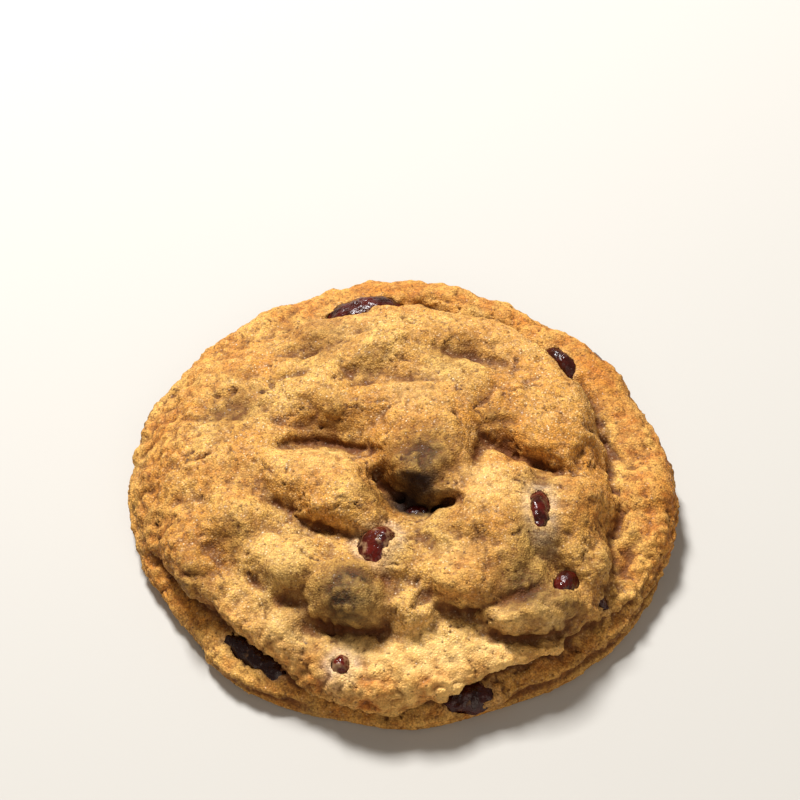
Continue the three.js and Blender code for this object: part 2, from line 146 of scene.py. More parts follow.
def linear(hex_colour):
    """A linear colour from an sRGB hex value such as #c8924a."""
    channels = (int(hex_colour[i : i + 2], 16) / 255 for i in (1, 3, 5))
    return (*(c / 12.92 if c <= 0.04045 else ((c + 0.055) / 1.055) ** 2.4 for c in channels), 1.0)


def add_node(tree, kind, links=None, out=0, **settings):
    """Adds a node with its settings, and gives back one of its outputs.

    links gives an input, by name or number, either a value or another node's output. On a Mix of colours,
    input 0 is the share, 6 and 7 are the two colours, and output 2 is the result. On a Map Range, inputs 1
    and 2 are the old limits, and 3 and 4 the new ones.
    """
    node = tree.nodes.new(kind)
    for name, value in settings.items():
        setattr(node, name, value)
    for name, source in (links or {}).items():
        if isinstance(source, bpy.types.NodeSocket):
            tree.links.new(source, node.inputs[name])
        else:
            node.inputs[name].default_value = source
    return node.outputs[out] if node.outputs else None


def pick(*objects):
    """Selects these objects alone, with the first one active."""
    bpy.ops.object.select_all(action="DESELECT")
    for piece in objects:
        piece.select_set(True)
    bpy.context.view_layer.objects.active = objects[0]


def apply_modifier(piece, kind, **settings):
    """Adds a modifier to a piece with these settings and applies it."""
    pick(piece)
    modifier = piece.modifiers.new(kind.title(), kind)
    for name, value in settings.items():
        setattr(modifier, name, value)
    bpy.ops.object.modifier_apply(modifier=modifier.name)


def solid_copy(node, name):
    """A copy of a solid under a new name, with its loose triangles merged."""
    piece = bpy.data.objects.new(name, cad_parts[node].data.copy())
    bpy.context.scene.collection.objects.link(piece)
    piece.data.materials.clear()
    pick(piece)
    bpy.ops.object.mode_set(mode="EDIT")
    bpy.ops.mesh.select_all(action="SELECT")
    bpy.ops.mesh.remove_doubles(threshold=1e-6)
    bpy.ops.object.mode_set(mode="OBJECT")
    return piece


def places(piece):
    """Every vertex of a piece, in metres, as rows."""
    values = np.empty(len(piece.data.vertices) * 3, np.float32)
    piece.data.vertices.foreach_get("co", values)
    return values.reshape(-1, 3)


def store(piece, name, values):
    """Keeps a number for each vertex under a name that the material reads."""
    attribute = piece.data.attributes.new(name, "FLOAT", "POINT")
    attribute.data.foreach_set("value", np.ascontiguousarray(values, np.float32))


def eased(values):
    """A row of numbers, each blended with the two on either side of it."""
    return np.convolve(np.pad(values, 2, "edge"), np.array((1, 2, 3, 2, 1)) / 9, "valid")


def tapered_rod(spots, sizes, thick):
    """A closed rod along some points in mm, as thick as given where its size is 1."""
    bpy.ops.object.select_all(action="DESELECT")
    bpy.ops.curve.primitive_nurbs_path_add(location=(0, 0, 0))
    rod = bpy.context.object
    spline = rod.data.splines[0]
    spline.points.add(len(spots) - len(spline.points))
    for point, (x, y, z), size in zip(spline.points, spots, sizes):
        point.co = (x * MM, y * MM, z * MM, 1)
        point.radius = size
    rod.data.bevel_depth = thick / 2 * MM
    rod.data.bevel_resolution = 3
    rod.data.use_fill_caps = True
    rod.data.resolution_u = 3
    spline.use_endpoint_u = True
    bpy.ops.object.convert(target="MESH")
    bpy.ops.object.mode_set(mode="EDIT")
    bpy.ops.mesh.select_all(action="SELECT")
    bpy.ops.mesh.remove_doubles(threshold=1e-6)
    bpy.ops.mesh.normals_make_consistent(inside=False)
    bpy.ops.object.mode_set(mode="OBJECT")
    return rod


def top_height(crust, x, y):
    """How high the top of the crust stands at a place, all in mm."""
    return crust.ray_cast(Vector((x * MM, y * MM, 0.05)), Vector((0, 0, -1)))[1].z / MM


def crease_groove(crease, crust):
    """A rod that lies along a crease of the top, under the skin of the crust, to be cut out of it."""
    line = np.array(crease["through"], float)
    share = np.linspace(0, 1, 13)  # 13 places along it
    x, y = (eased(np.interp(share, np.linspace(0, 1, len(line)), column)) for column in line.T)
    ahead = np.stack((np.gradient(x), np.gradient(y)))
    aside_x, aside_y = (-ahead[1], ahead[0]) / np.hypot(*ahead)

    # The solid's crease strays from its line, so the rod settles in the lowest place up to 1.8 mm aside.
    steps = np.linspace(-1.8, 1.8, 19)
    heights = np.array([
        [top_height(crust, px + step * ax, py + step * ay) for step in steps]
        for px, py, ax, ay in zip(x, y, aside_x, aside_y)
    ])
    # Low is below the straight slope from one side to the other, and a place near the line is favoured.
    chord = heights[:, :1] + (heights[:, -1:] - heights[:, :1]) * np.linspace(0, 1, len(steps))
    drift = eased(steps[np.argmin(heights - chord + np.abs(steps) * 0.1, axis=1)])
    low = eased([np.interp(step, steps, row) for step, row in zip(drift, heights)])

    # It lies a little under the side that stands higher, so that this side overhangs it.
    size = 0.3 + 0.7 * np.sin(np.pi * share) ** 0.7
    higher = 1 if np.mean(heights[:, -1] - heights[:, 0]) > 0 else -1
    drift = drift + higher * 0.2 * crease["thick"] * size
    spots = np.stack((x + drift * aside_x, y + drift * aside_y, low - crease["deep"] * size), 1)
    return tapered_rod(spots, size, crease["thick"])


def seam_groove(seam, crust):
    """A rod that lies along a seam of the side, half in the crust, to be cut out of it."""
    at, height = np.array(seam["heights"], float).T
    turns = np.arange(at[0], at[-1], 4.0)  # every 4 degrees
    heights = eased(np.interp(turns, at, height)) + 0.15 * np.sin(turns * 0.31)
    outward = np.stack((np.cos(np.radians(turns)), np.sin(np.radians(turns))), 1)

    # A ray from 60 mm out finds the side at each height.
    reach = eased([
        crust.ray_cast(Vector((0.06 * out_x, 0.06 * out_y, high * MM)), Vector((-out_x, -out_y, 0)))[1].xy.length / MM
        for (out_x, out_y), high in zip(outward, heights)
    ])
    size = 0.3 + 0.7 * np.sin(np.pi * np.linspace(0, 1, len(turns))) ** 0.4
    return tapered_rod(np.column_stack((outward * reach[:, None], heights)), size, seam["thick"])


def folded(tree, level, height, gain, sunk):
    """Noise folded at its middle into rounded lumps with sharp valleys, sunk so that the crust keeps its size."""
    apart = add_node(tree, "ShaderNodeMath", {0: level, 1: 0.5}, operation="SUBTRACT")
    apart = add_node(tree, "ShaderNodeMath", {0: apart}, operation="ABSOLUTE")
    return add_node(tree, "ShaderNodeMath", {0: apart, 1: gain * height, 2: -sunk * height}, operation="MULTIPLY_ADD")


def crumb_relief(sizes):
    """The crust's lumps, crumbs, layers, cracks and pores, as a node group that moves each point along its normal."""
    tree = bpy.data.node_groups.new("CrumbRelief", "GeometryNodeTree")
    tree.interface.new_socket("Geometry", in_out="INPUT", socket_type="NodeSocketGeometry")
    tree.interface.new_socket("Geometry", in_out="OUTPUT", socket_type="NodeSocketGeometry")
    given = add_node(tree, "NodeGroupInput")
    place = add_node(tree, "GeometryNodeInputPosition")
    outward = add_node(tree, "GeometryNodeInputNormal")
    knobbly, wall, pressed, free = (
        add_node(tree, "GeometryNodeInputNamedAttribute", {"Name": name}, "Attribute", data_type="FLOAT")
        for name in ("knobbly", "wall", "pressed", "free")
    )

    # Swells of 7 mm and crumbs of 2.6 mm, coarser where the rim is knobbly, and grit of 0.9 mm.
    swells = add_node(tree, "ShaderNodeTexNoise", {"Vector": place, "Scale": 1 / (7 * MM), "Detail": 2.0})
    swells = folded(tree, swells, sizes.swell, 6, 0.5)
    crumbs = add_node(tree, "ShaderNodeTexNoise", {"Vector": place, "Scale": 1 / (2.6 * MM), "Detail": 1.5})
    crumbs = folded(tree, crumbs, sizes.crumb, 6, 0.5)
    coarser = add_node(tree, "ShaderNodeMath", {0: knobbly, 1: 1.2, 2: 1.0}, operation="MULTIPLY_ADD")
    crumbs = add_node(tree, "ShaderNodeMath", {0: crumbs, 1: coarser}, operation="MULTIPLY")
    grit = add_node(tree, "ShaderNodeTexNoise", {"Vector": place, "Scale": 1 / (0.9 * MM), "Detail": 1.0})
    grit = add_node(tree, "ShaderNodeMath", {0: grit, 1: 4 * sizes.grit, 2: -2 * sizes.grit}, operation="MULTIPLY_ADD")

    # Knobs of 3.8 mm stand on the knobbly rim.
    knobs = add_node(
        tree, "ShaderNodeTexVoronoi", {"Vector": place, "Scale": 1 / (3.8 * MM), "Smoothness": 0.4}, feature="SMOOTH_F1"
    )
    knobs = add_node(tree, "ShaderNodeMath", {0: knobs, 1: -2.2 * sizes.knob, 2: sizes.knob}, operation="MULTIPLY_ADD")
    knobs = add_node(tree, "ShaderNodeMath", {0: knobs, 1: knobbly}, operation="MULTIPLY")

    # The side shows thin layers that run round it: noise squeezed flat.
    flat = add_node(tree, "ShaderNodeVectorMath", {0: place, 1: (1, 1, 9)}, operation="MULTIPLY")
    layers = add_node(
        tree, "ShaderNodeTexNoise", {"Vector": flat, "Scale": 1 / (9 * MM), "Detail": 2.0, "Roughness": 0.6}
    )
    layers = folded(tree, layers, sizes.layer, 8, 1)
    layers = add_node(tree, "ShaderNodeMath", {0: layers, 1: wall}, operation="MULTIPLY")

    # Cracks follow the borders of cells whose lines wander, and open only here and there.
    wander = add_node(tree, "ShaderNodeTexNoise", {"Vector": place, "Scale": 1 / (2.2 * MM), "Detail": 2.0}, "Color")
    swayed = add_node(
        tree, "ShaderNodeVectorMath", {0: wander, 1: [3.6 * MM] * 3, 2: place}, operation="MULTIPLY_ADD"
    )
    borders = add_node(
        tree, "ShaderNodeTexVoronoi", {"Vector": swayed, "Scale": 1 / (4.0 * MM)}, "Distance",
        feature="DISTANCE_TO_EDGE",
    )
    line = add_node(tree, "ShaderNodeMapRange", {0: borders, 1: 0.0, 2: 0.045, 3: 1.0, 4: 0.0})
    patch = add_node(
        tree, "ShaderNodeTexNoise", {"Vector": place, "Scale": 1 / (3.6 * MM), "Detail": 2.0, "Distortion": 0.5}
    )
    patch = add_node(tree, "ShaderNodeMapRange", {0: patch, 1: 0.55, 2: 0.62, 3: 0.0, 4: 1.0})
    crack = add_node(tree, "ShaderNodeMath", {0: line, 1: patch}, operation="MULTIPLY")

    # Pores are small holes of 0.3 to 0.7 mm, one in every fourth cell or so.
    holes = add_node(tree, "ShaderNodeTexVoronoi", {"Vector": place, "Scale": 1 / (2.4 * MM)}, "Distance", feature="F1")
    chance = add_node(tree, "FunctionNodeSeparateColor", {0: holes.node.outputs["Color"]})
    reach = add_node(tree, "ShaderNodeMapRange", {0: chance, 1: 0.72, 2: 1.0, 3: 0.0, 4: 0.2})
    pore = add_node(tree, "ShaderNodeMath", {0: reach, 1: holes}, operation="SUBTRACT")
    pore = add_node(tree, "ShaderNodeMath", {0: pore, 1: 9.0}, operation="MULTIPLY", use_clamp=True)

    raised = swells
    for added in (crumbs, grit, knobs, layers):
        raised = add_node(tree, "ShaderNodeMath", {0: raised, 1: added}, operation="ADD")
    for opened, depth in ((crack, sizes.crack_depth), (pore, sizes.pore_depth)):
        raised = add_node(tree, "ShaderNodeMath", {0: opened, 1: -depth, 2: raised}, operation="MULTIPLY_ADD")
    raised = add_node(tree, "ShaderNodeMath", {0: raised, 1: free, 2: pressed}, operation="MULTIPLY_ADD")
    offset = add_node(tree, "ShaderNodeVectorMath", {0: outward, "Scale": raised}, operation="SCALE")
    kept = add_node(tree, "GeometryNodeSetPosition", {"Geometry": given, "Offset": offset})

    # How far each point stands over the blurred form around it: hollows are negative and ridges positive.
    marks = [("crack", crack), ("pore", pore)]
    for name, steps in (("fine_form", 10), ("broad_form", 90)):
        blurred = add_node(
            tree, "GeometryNodeBlurAttribute", {"Value": place, "Iterations": steps}, data_type="FLOAT_VECTOR"
        )
        apart = add_node(tree, "ShaderNodeVectorMath", {0: place, 1: blurred}, operation="SUBTRACT")
        form = add_node(tree, "ShaderNodeVectorMath", {0: apart, 1: outward}, "Value", operation="DOT_PRODUCT")
        marks.append((name, form))
    for name, value in marks:
        kept = add_node(
            tree, "GeometryNodeStoreNamedAttribute", {"Geometry": kept, "Name": name, "Value": value},
            data_type="FLOAT", domain="POINT",
        )
    add_node(tree, "NodeGroupOutput", {0: kept})
    return tree


def crust_material(looks):
    """Baked cookie crust: a matt, sugary, finely grained skin, golden where pale and orange-brown where toasted."""
    material = bpy.data.materials.new("BakedCookieCrust")
    material.use_nodes = True
    tree = material.node_tree
    shader = tree.nodes["Principled BSDF"]
    place = add_node(tree, "ShaderNodeTexCoord", out="Object")
    moved = add_node(tree, "ShaderNodeMapping", {"Vector": place, "Location": (0.02, 0.05, 0.03)})
    marks = ("toast", "stain", "rubbed_and_hollow_shade", "underbaked_and_lit", "halo", "groove_shade", "crack", "pore", "fine_form", "broad_form")
    toast, stain, rubbed_and_hollow_shade, underbaked_and_lit, halo, groove_shade, crack, pore, fine, wide = (
        add_node(tree, "ShaderNodeAttribute", out="Fac", attribute_name=name) for name in marks
    )

    # Patches of 11 mm, blotches of 3 mm and flecks of 1 mm, as the sugar and butter browned unevenly. The
    # blotches are moved aside, so that they don't follow the patches. The sugar crystals are drawn 0.3 mm
    # wide, coarser than real ones, so that they show.
    broad = add_node(tree, "ShaderNodeTexNoise", {"Vector": place, "Scale": 1 / (11 * MM), "Detail": 2.0})
    blotch = add_node(
        tree, "ShaderNodeTexNoise", {"Vector": moved, "Scale": 1 / (3.0 * MM), "Detail": 3.0, "Roughness": 0.6}
    )
    flecks = add_node(tree, "ShaderNodeTexNoise", {"Vector": place, "Scale": 1 / (1.0 * MM), "Detail": 2.0})
    crystals = add_node(
        tree, "ShaderNodeTexVoronoi", {"Vector": place, "Scale": 1 / (0.3 * MM)}, "Distance", feature="F1"
    )
    lot = add_node(tree, "ShaderNodeSeparateColor", {0: crystals.node.outputs["Color"]})
    other_lot = lot.node.outputs[1]

    # Golden dough, paler in some patches and ochre in blotches.
    share = add_node(tree, "ShaderNodeMapRange", {0: broad, 1: 0.38, 2: 0.62, 3: 0.0, 4: 1.0})
    colour = add_node(
        tree, "ShaderNodeMix", {0: share, 6: tuple(looks.golden), 7: tuple(looks.pale)}, 2, data_type="RGBA"
    )
    share = add_node(tree, "ShaderNodeMapRange", {0: blotch, 1: 0.46, 2: 0.68, 3: 0.0, 4: 0.6})
    colour = add_node(tree, "ShaderNodeMix", {0: share, 6: colour, 7: tuple(looks.ochre)}, 2, data_type="RGBA")

    # Paler where it baked least and with painted light along the front lip, and orange-brown where it was
    # toasted, each with a ragged border.
    share = add_node(tree, "ShaderNodeMapRange", {0: blotch, 1: 0.36, 2: 0.6, 3: 1.0, 4: 0.5})
    share = add_node(tree, "ShaderNodeMath", {0: share, 1: underbaked_and_lit}, operation="MULTIPLY", use_clamp=True)
    colour = add_node(tree, "ShaderNodeMix", {0: share, 6: colour, 7: tuple(looks.light)}, 2, data_type="RGBA")
    share = add_node(tree, "ShaderNodeMapRange", {0: blotch, 1: 0.36, 2: 0.64, 3: 0.35, 4: 1.3})
    share = add_node(tree, "ShaderNodeMath", {0: share, 1: toast}, operation="MULTIPLY", use_clamp=True)
    colour = add_node(tree, "ShaderNodeMix", {0: share, 6: colour, 7: tuple(looks.toasted)}, 2, data_type="RGBA")

    # Pinkish and pale where melted chocolate smeared thinly round a chip, and grey-brown over a buried one,
    # dark enough in places to paint the shade under the folds.
    share = add_node(tree, "ShaderNodeMapRange", {0: blotch, 1: 0.38, 2: 0.58, 3: 0.5, 4: 1.0})
    share = add_node(tree, "ShaderNodeMath", {0: share, 1: halo}, operation="MULTIPLY", use_clamp=True)
    colour = add_node(tree, "ShaderNodeMix", {0: share, 6: colour, 7: tuple(looks.smeared)}, 2, data_type="RGBA")
    share = add_node(tree, "ShaderNodeMapRange", {0: blotch, 1: 0.34, 2: 0.6, 3: 0.8, 4: 1.0})
    share = add_node(tree, "ShaderNodeMath", {0: share, 1: stain}, operation="MULTIPLY", use_clamp=True)
    colour = add_node(tree, "ShaderNodeMix", {0: share, 6: colour, 7: tuple(looks.greyed)}, 2, data_type="RGBA")

    # Painted shade: darker down in the creases, in the broad hollows and between the crumbs. Painted highlight:
    # lighter along what stands proud.
    share = add_node(tree, "ShaderNodeMath", {0: groove_shade, 1: 0.8}, operation="MULTIPLY")
    colour = add_node(tree, "ShaderNodeMix", {0: share, 6: colour, 7: tuple(looks.crease)}, 2, data_type="RGBA")
    share = add_node(tree, "ShaderNodeMapRange", {0: wide, 1: -0.1 * MM, 2: -1.0 * MM, 3: 0.0, 4: 0.9})
    colour = add_node(tree, "ShaderNodeMix", {0: share, 6: colour, 7: tuple(looks.crease)}, 2, data_type="RGBA")
    share = add_node(tree, "ShaderNodeMapRange", {0: fine, 1: -0.02 * MM, 2: -0.2 * MM, 3: 0.0, 4: 0.6})
    colour = add_node(tree, "ShaderNodeMix", {0: share, 6: colour, 7: tuple(looks.crease)}, 2, data_type="RGBA")
    share = add_node(tree, "ShaderNodeMapRange", {0: fine, 1: 0.03 * MM, 2: 0.2 * MM, 3: 0.0, 4: 0.35})
    colour = add_node(tree, "ShaderNodeMix", {0: share, 6: colour, 7: tuple(looks.pale)}, 2, data_type="RGBA")

    # Specks of 0.5 mm where butter and sugar browned to dots, fewer where it baked least, and flecks that darken
    # and lighten whatever is under them.
    dots = add_node(tree, "ShaderNodeTexNoise", {"Vector": moved, "Scale": 1 / (0.5 * MM), "Detail": 2.0})
    even = add_node(tree, "ShaderNodeMapRange", {0: underbaked_and_lit, 1: 0.0, 2: 1.2, 3: 1.0, 4: 0.25})
    share = add_node(tree, "ShaderNodeMapRange", {0: dots, 1: 0.58, 2: 0.7, 3: 0.0, 4: 0.65})
    share = add_node(tree, "ShaderNodeMath", {0: share, 1: even}, operation="MULTIPLY")
    colour = add_node(tree, "ShaderNodeMix", {0: share, 6: colour, 7: tuple(looks.crease)}, 2, data_type="RGBA")
    share = add_node(tree, "ShaderNodeMapRange", {0: flecks, 1: 0.36, 2: 0.64, 3: 1.14, 4: 0.8})
    colour = add_node(tree, "ShaderNodeMix", {0: 1.0, 6: colour, 7: share}, 2, data_type="RGBA", blend_type="MULTIPLY")

    # The crystals, each with two lots of its own. On plain dough some are cream, as the smears are, and a few
    # are white, partly the sugar's own colour and partly a painted glint. Everywhere they differ in depth, the
    # gaps between them are darker with painted shade, and one in fifty is burnt.
    plain = add_node(tree, "ShaderNodeMath", {0: groove_shade, 1: stain}, operation="MAXIMUM")
    plain = add_node(tree, "ShaderNodeMath", {0: plain, 1: toast}, operation="MAXIMUM")
    plain = add_node(tree, "ShaderNodeMapRange", {0: plain, 1: 0.0, 2: 0.5, 3: 1.0, 4: 0.0})
    share = add_node(tree, "ShaderNodeMapRange", {0: other_lot, 1: 0.45, 2: 0.9, 3: 0.0, 4: 0.2})
    share = add_node(tree, "ShaderNodeMath", {0: share, 1: plain}, operation="MULTIPLY")
    colour = add_node(tree, "ShaderNodeMix", {0: share, 6: colour, 7: tuple(looks.smeared)}, 2, data_type="RGBA")
    share = add_node(tree, "ShaderNodeMapRange", {0: lot, 1: 0.0, 2: 1.0, 3: 0.84, 4: 1.16})
    colour = add_node(tree, "ShaderNodeMix", {0: 1.0, 6: colour, 7: share}, 2, data_type="RGBA", blend_type="MULTIPLY")
    share = add_node(tree, "ShaderNodeMapRange", {0: crystals, 1: 0.42, 2: 0.8, 3: 0.0, 4: 0.5})
    share = add_node(tree, "ShaderNodeMath", {0: share, 1: even}, operation="MULTIPLY")
    colour = add_node(tree, "ShaderNodeMix", {0: share, 6: colour, 7: tuple(looks.crease)}, 2, data_type="RGBA")
    share = add_node(tree, "ShaderNodeMapRange", {0: crystals, 1: 0.2, 2: 0.5, 3: 1.0, 4: 0.0})
    speck = add_node(tree, "ShaderNodeMapRange", {0: other_lot, 1: 0.9, 2: 0.98, 3: 0.0, 4: 0.7})
    speck = add_node(tree, "ShaderNodeMath", {0: speck, 1: plain}, operation="MULTIPLY")
    share = add_node(tree, "ShaderNodeMath", {0: share, 1: speck}, operation="MULTIPLY")
    colour = add_node(tree, "ShaderNodeMix", {0: share, 6: colour, 7: tuple(looks.sugar_and_glint)}, 2, data_type="RGBA")
    share = add_node(tree, "ShaderNodeMapRange", {0: lot, 1: 0.97, 2: 0.985, 3: 0.0, 4: 0.65})
    colour = add_node(tree, "ShaderNodeMix", {0: share, 6: colour, 7: tuple(looks.pore)}, 2, data_type="RGBA")

    # Black-brown over the grain where a chip rubbed off and as painted shade over and in the hollow; painted
    # shade darkest down in the cracks and pores.
    colour = add_node(tree, "ShaderNodeMix", {0: rubbed_and_hollow_shade, 6: colour, 7: tuple(looks.rubbed_and_hollow_shade)}, 2, data_type="RGBA")
    share = add_node(tree, "ShaderNodeMath", {0: crack, 1: pore}, operation="MAXIMUM")
    share = add_node(tree, "ShaderNodeMath", {0: share, 1: 0.9}, operation="MULTIPLY", use_clamp=True)
    colour = add_node(tree, "ShaderNodeMix", {0: share, 6: colour, 7: tuple(looks.pore)}, 2, data_type="RGBA")
    tree.links.new(colour, shader.inputs["Base Color"])

    # Single sugar crystals glint; the rest scatters like bread crust.
    rough = add_node(tree, "ShaderNodeMapRange", {0: other_lot, 1: 0.9, 2: 0.98, 3: 0.75, 4: 0.34})
    tree.links.new(rough, shader.inputs["Roughness"])
    shader.inputs["IOR"].default_value = 1.4
    shader.inputs["Specular IOR Level"].default_value = 0.35
    height = add_node(tree, "ShaderNodeMapRange", {0: crystals, 1: 0.0, 2: 0.8, 3: 1.0, 4: 0.0})
    grain = add_node(tree, "ShaderNodeMapRange", {0: lot, 1: 0.0, 2: 1.0, 3: 0.35, 4: 1.2})
    height = add_node(tree, "ShaderNodeMath", {0: height, 1: grain}, operation="MULTIPLY")
    bump = add_node(tree, "ShaderNodeBump", {"Height": height, "Strength": 0.75, "Distance": 0.14 * MM})
    tree.links.new(bump, shader.inputs["Normal"])
    return material


def chocolate_material(looks):
    """Dark chocolate that melted in the oven and set again: glossy and red-brown, with films of dough on it."""
    material = bpy.data.materials.new("ResetDarkChocolate")
    material.use_nodes = True
    tree = material.node_tree
    shader = tree.nodes["Principled BSDF"]
    place = add_node(tree, "ShaderNodeTexCoord", out="Object")
    filmed = add_node(tree, "ShaderNodeAttribute", out="Fac", attribute_name="filmed")
    cloud = add_node(tree, "ShaderNodeTexNoise", {"Vector": place, "Scale": 1 / (2.4 * MM), "Detail": 2.0})
    ripples = add_node(tree, "ShaderNodeTexNoise", {"Vector": place, "Scale": 1 / (0.6 * MM), "Detail": 3.0})

    # Thin places are redder, on some chips more than on others; so is the film of dough where the noise is high.
    reddened = add_node(tree, "ShaderNodeAttribute", out="Fac", attribute_name="reddened")
    share = add_node(tree, "ShaderNodeMapRange", {0: cloud, 1: 0.36, 2: 0.62, 3: 0.1, 4: 1.0})
    share = add_node(tree, "ShaderNodeMath", {0: share, 1: reddened}, operation="MULTIPLY")
    colour = add_node(tree, "ShaderNodeMix", {0: share, 6: tuple(looks.dark), 7: tuple(looks.red)}, 2, data_type="RGBA")
    film = add_node(tree, "ShaderNodeTexNoise", {"Vector": place, "Scale": 1 / (1.5 * MM), "Detail": 4.0})
    film = add_node(tree, "ShaderNodeMath", {0: film, 1: filmed}, operation="ADD")
    film = add_node(tree, "ShaderNodeMapRange", {0: film, 1: 0.66, 2: 0.8, 3: 0.0, 4: 0.85})
    colour = add_node(tree, "ShaderNodeMix", {0: film, 6: colour, 7: tuple(looks.film)}, 2, data_type="RGBA")
    tree.links.new(colour, shader.inputs["Base Color"])
    rough = add_node(tree, "ShaderNodeMapRange", {0: ripples, 1: 0.4, 2: 0.6, 3: 0.14, 4: 0.34})
    rough = add_node(tree, "ShaderNodeMath", {0: film, 1: 0.4, 2: rough}, operation="MULTIPLY_ADD")
    tree.links.new(rough, shader.inputs["Roughness"])
    shader.inputs["IOR"].default_value = 1.46
    shader.inputs["Specular IOR Level"].default_value = 0.4
    bump = add_node(tree, "ShaderNodeBump", {"Height": ripples, "Strength": 0.7, "Distance": 0.26 * MM})
    tree.links.new(bump, shader.inputs["Normal"])
    return material


def board_material(colour):
    """Matt painted board: an even, pale ground that shows a soft shadow."""
    material = bpy.data.materials.new("MattPaintedBoard")
    material.use_nodes = True
    shader = material.node_tree.nodes["Principled BSDF"]
    shader.inputs["Base Color"].default_value = tuple(colour)
    shader.inputs["Roughness"].default_value = 0.85
    return material


# What all lengths and all colours among the settings share.
LENGTH = {"unit": "LENGTH", "subtype": "DISTANCE"}
COLOUR = {"size": 4, "min": 0, "max": 1, "subtype": "COLOR"}


class CookieCrust(bpy.types.PropertyGroup):
    """Sizes and colours of the crust."""

    voxel: bpy.props.FloatProperty(
        name="Mesh size", description="Size of the crust's faces", default=0.385 * MM, **LENGTH
    )
    swell: bpy.props.FloatProperty(name="Swells", description="Height of the broad swells", default=0.46 * MM, **LENGTH)
    crumb: bpy.props.FloatProperty(name="Crumbs", description="Height of the crumbs", default=0.22 * MM, **LENGTH)
    grit: bpy.props.FloatProperty(name="Grit", description="Height of the sugar grit", default=0.08 * MM, **LENGTH)
    knob: bpy.props.FloatProperty(
        name="Knobs", description="Height of the knobs on the rim", default=0.28 * MM, **LENGTH
    )
    layer: bpy.props.FloatProperty(
        name="Layers", description="Height of the layers on the side", default=0.3 * MM, **LENGTH
    )
    crack_depth: bpy.props.FloatProperty(
        name="Crack depth", description="Depth of the hairline cracks", default=0.45 * MM, **LENGTH
    )
    pore_depth: bpy.props.FloatProperty(name="Pore depth", description="Depth of the pores", default=0.6 * MM, **LENGTH)
    golden: bpy.props.FloatVectorProperty(name="Golden", description="Main colour", default=linear("#c68834"), **COLOUR)
    # Pale patches of dough, and the painted highlight along what stands proud.
    pale: bpy.props.FloatVectorProperty(
        name="Pale", description="Colour of raised dough", default=linear("#deae5a"), **COLOUR
    )
    # Where it baked least, and painted light along the front lip.
    light: bpy.props.FloatVectorProperty(
        name="Light", description="Colour where it baked least", default=linear("#fbcf80"), **COLOUR
    )
    ochre: bpy.props.FloatVectorProperty(
        name="Ochre", description="Colour of darker blotches", default=linear("#a96c26"), **COLOUR
    )
    toasted: bpy.props.FloatVectorProperty(
        name="Toasted", description="Colour of thin, toasted dough", default=linear("#b66c26"), **COLOUR
    )
    # Over a buried chip, and also the painted shade under some folds.
    greyed: bpy.props.FloatVectorProperty(
        name="Greyed", description="Colour over a buried chip", default=linear("#33240f"), **COLOUR
    )
    smeared: bpy.props.FloatVectorProperty(
        name="Smeared", description="Colour of the dough round a chip", default=linear("#dcbc98"), **COLOUR
    )
    # Where a chip rubbed off, and the painted shade over and in the hollow.
    rubbed_and_hollow_shade: bpy.props.FloatVectorProperty(
        name="Rubbed", description="Colour where a chip rubbed off", default=linear("#1e0d06"), **COLOUR
    )
    # Painted shade in the creases, hollows and gaps between crystals, and the browned specks' own colour.
    crease: bpy.props.FloatVectorProperty(
        name="Creases", description="Colour down in the creases", default=linear("#5a2e0c"), **COLOUR
    )
    # The sugar's own colour, and a painted glint on the few white crystals.
    sugar_and_glint: bpy.props.FloatVectorProperty(
        name="Sugar", description="Colour of the sugar grains", default=linear("#f8dca6"), **COLOUR
    )
    # Painted shade down in the pores and cracks, and the own colour of the few burnt crystals.
    pore: bpy.props.FloatVectorProperty(
        name="Pores", description="Colour down in the pores and cracks", default=linear("#3a1806"), **COLOUR
    )


class CookieChocolate(bpy.types.PropertyGroup):
    """Fit and colours of the chips."""

    grown: bpy.props.FloatProperty(
        name="Grown", description="How far a chip fills the gap to its pocket", default=0.55 * MM, **LENGTH
    )
    dark: bpy.props.FloatVectorProperty(name="Dark", description="Main colour", default=linear("#260a05"), **COLOUR)
    red: bpy.props.FloatVectorProperty(
        name="Red", description="Colour where it is thin", default=linear("#5e140a"), **COLOUR
    )
    film: bpy.props.FloatVectorProperty(
        name="Film", description="Colour of the film of dough on it", default=linear("#94714f"), **COLOUR
    )


class CookieStage(bpy.types.PropertyGroup):
    """The floor, lights and camera."""

    floor: bpy.props.FloatVectorProperty(
        name="Floor", description="Colour of the floor", default=linear("#b9b6b0"), **COLOUR
    )
    elevation: bpy.props.FloatProperty(
        name="Elevation", description="How steeply the camera looks down", default=math.radians(54), subtype="ANGLE"
    )
    distance: bpy.props.FloatProperty(
        name="Distance", description="From the camera to the cookie", default=0.244, **LENGTH
    )
    view: bpy.props.FloatProperty(name="View", description="Field of view", default=math.radians(28), subtype="ANGLE")
    key: bpy.props.FloatProperty(
        name="Key light", description="Power of the main light", default=12.4, unit="POWER", subtype="POWER"
    )


def faded(value, low, high):
    """0 at low, 1 at high and a soft ramp between, for a whole array."""
    share = np.clip((value - low) / (high - low), 0, 1)
    return share * share * (3 - 2 * share)


def in_patches(x, y, patches):
    """How strongly each point lies in any of some round patches, in mm."""
    total = np.zeros_like(x)
    for at_x, at_y, reach, strength in patches:
        total = np.maximum(total, strength * np.exp(-((x - at_x) ** 2 + (y - at_y) ** 2) / reach**2))
    return total


def nearest(points, others):
    """How far each point lies from the nearest of some others, in mm."""
    tree = KDTree(len(others))
    for i, other in enumerate(others):
        tree.insert(other, i)
    tree.balance()
    return np.array([tree.find(spot)[2] for spot in points]) / MM


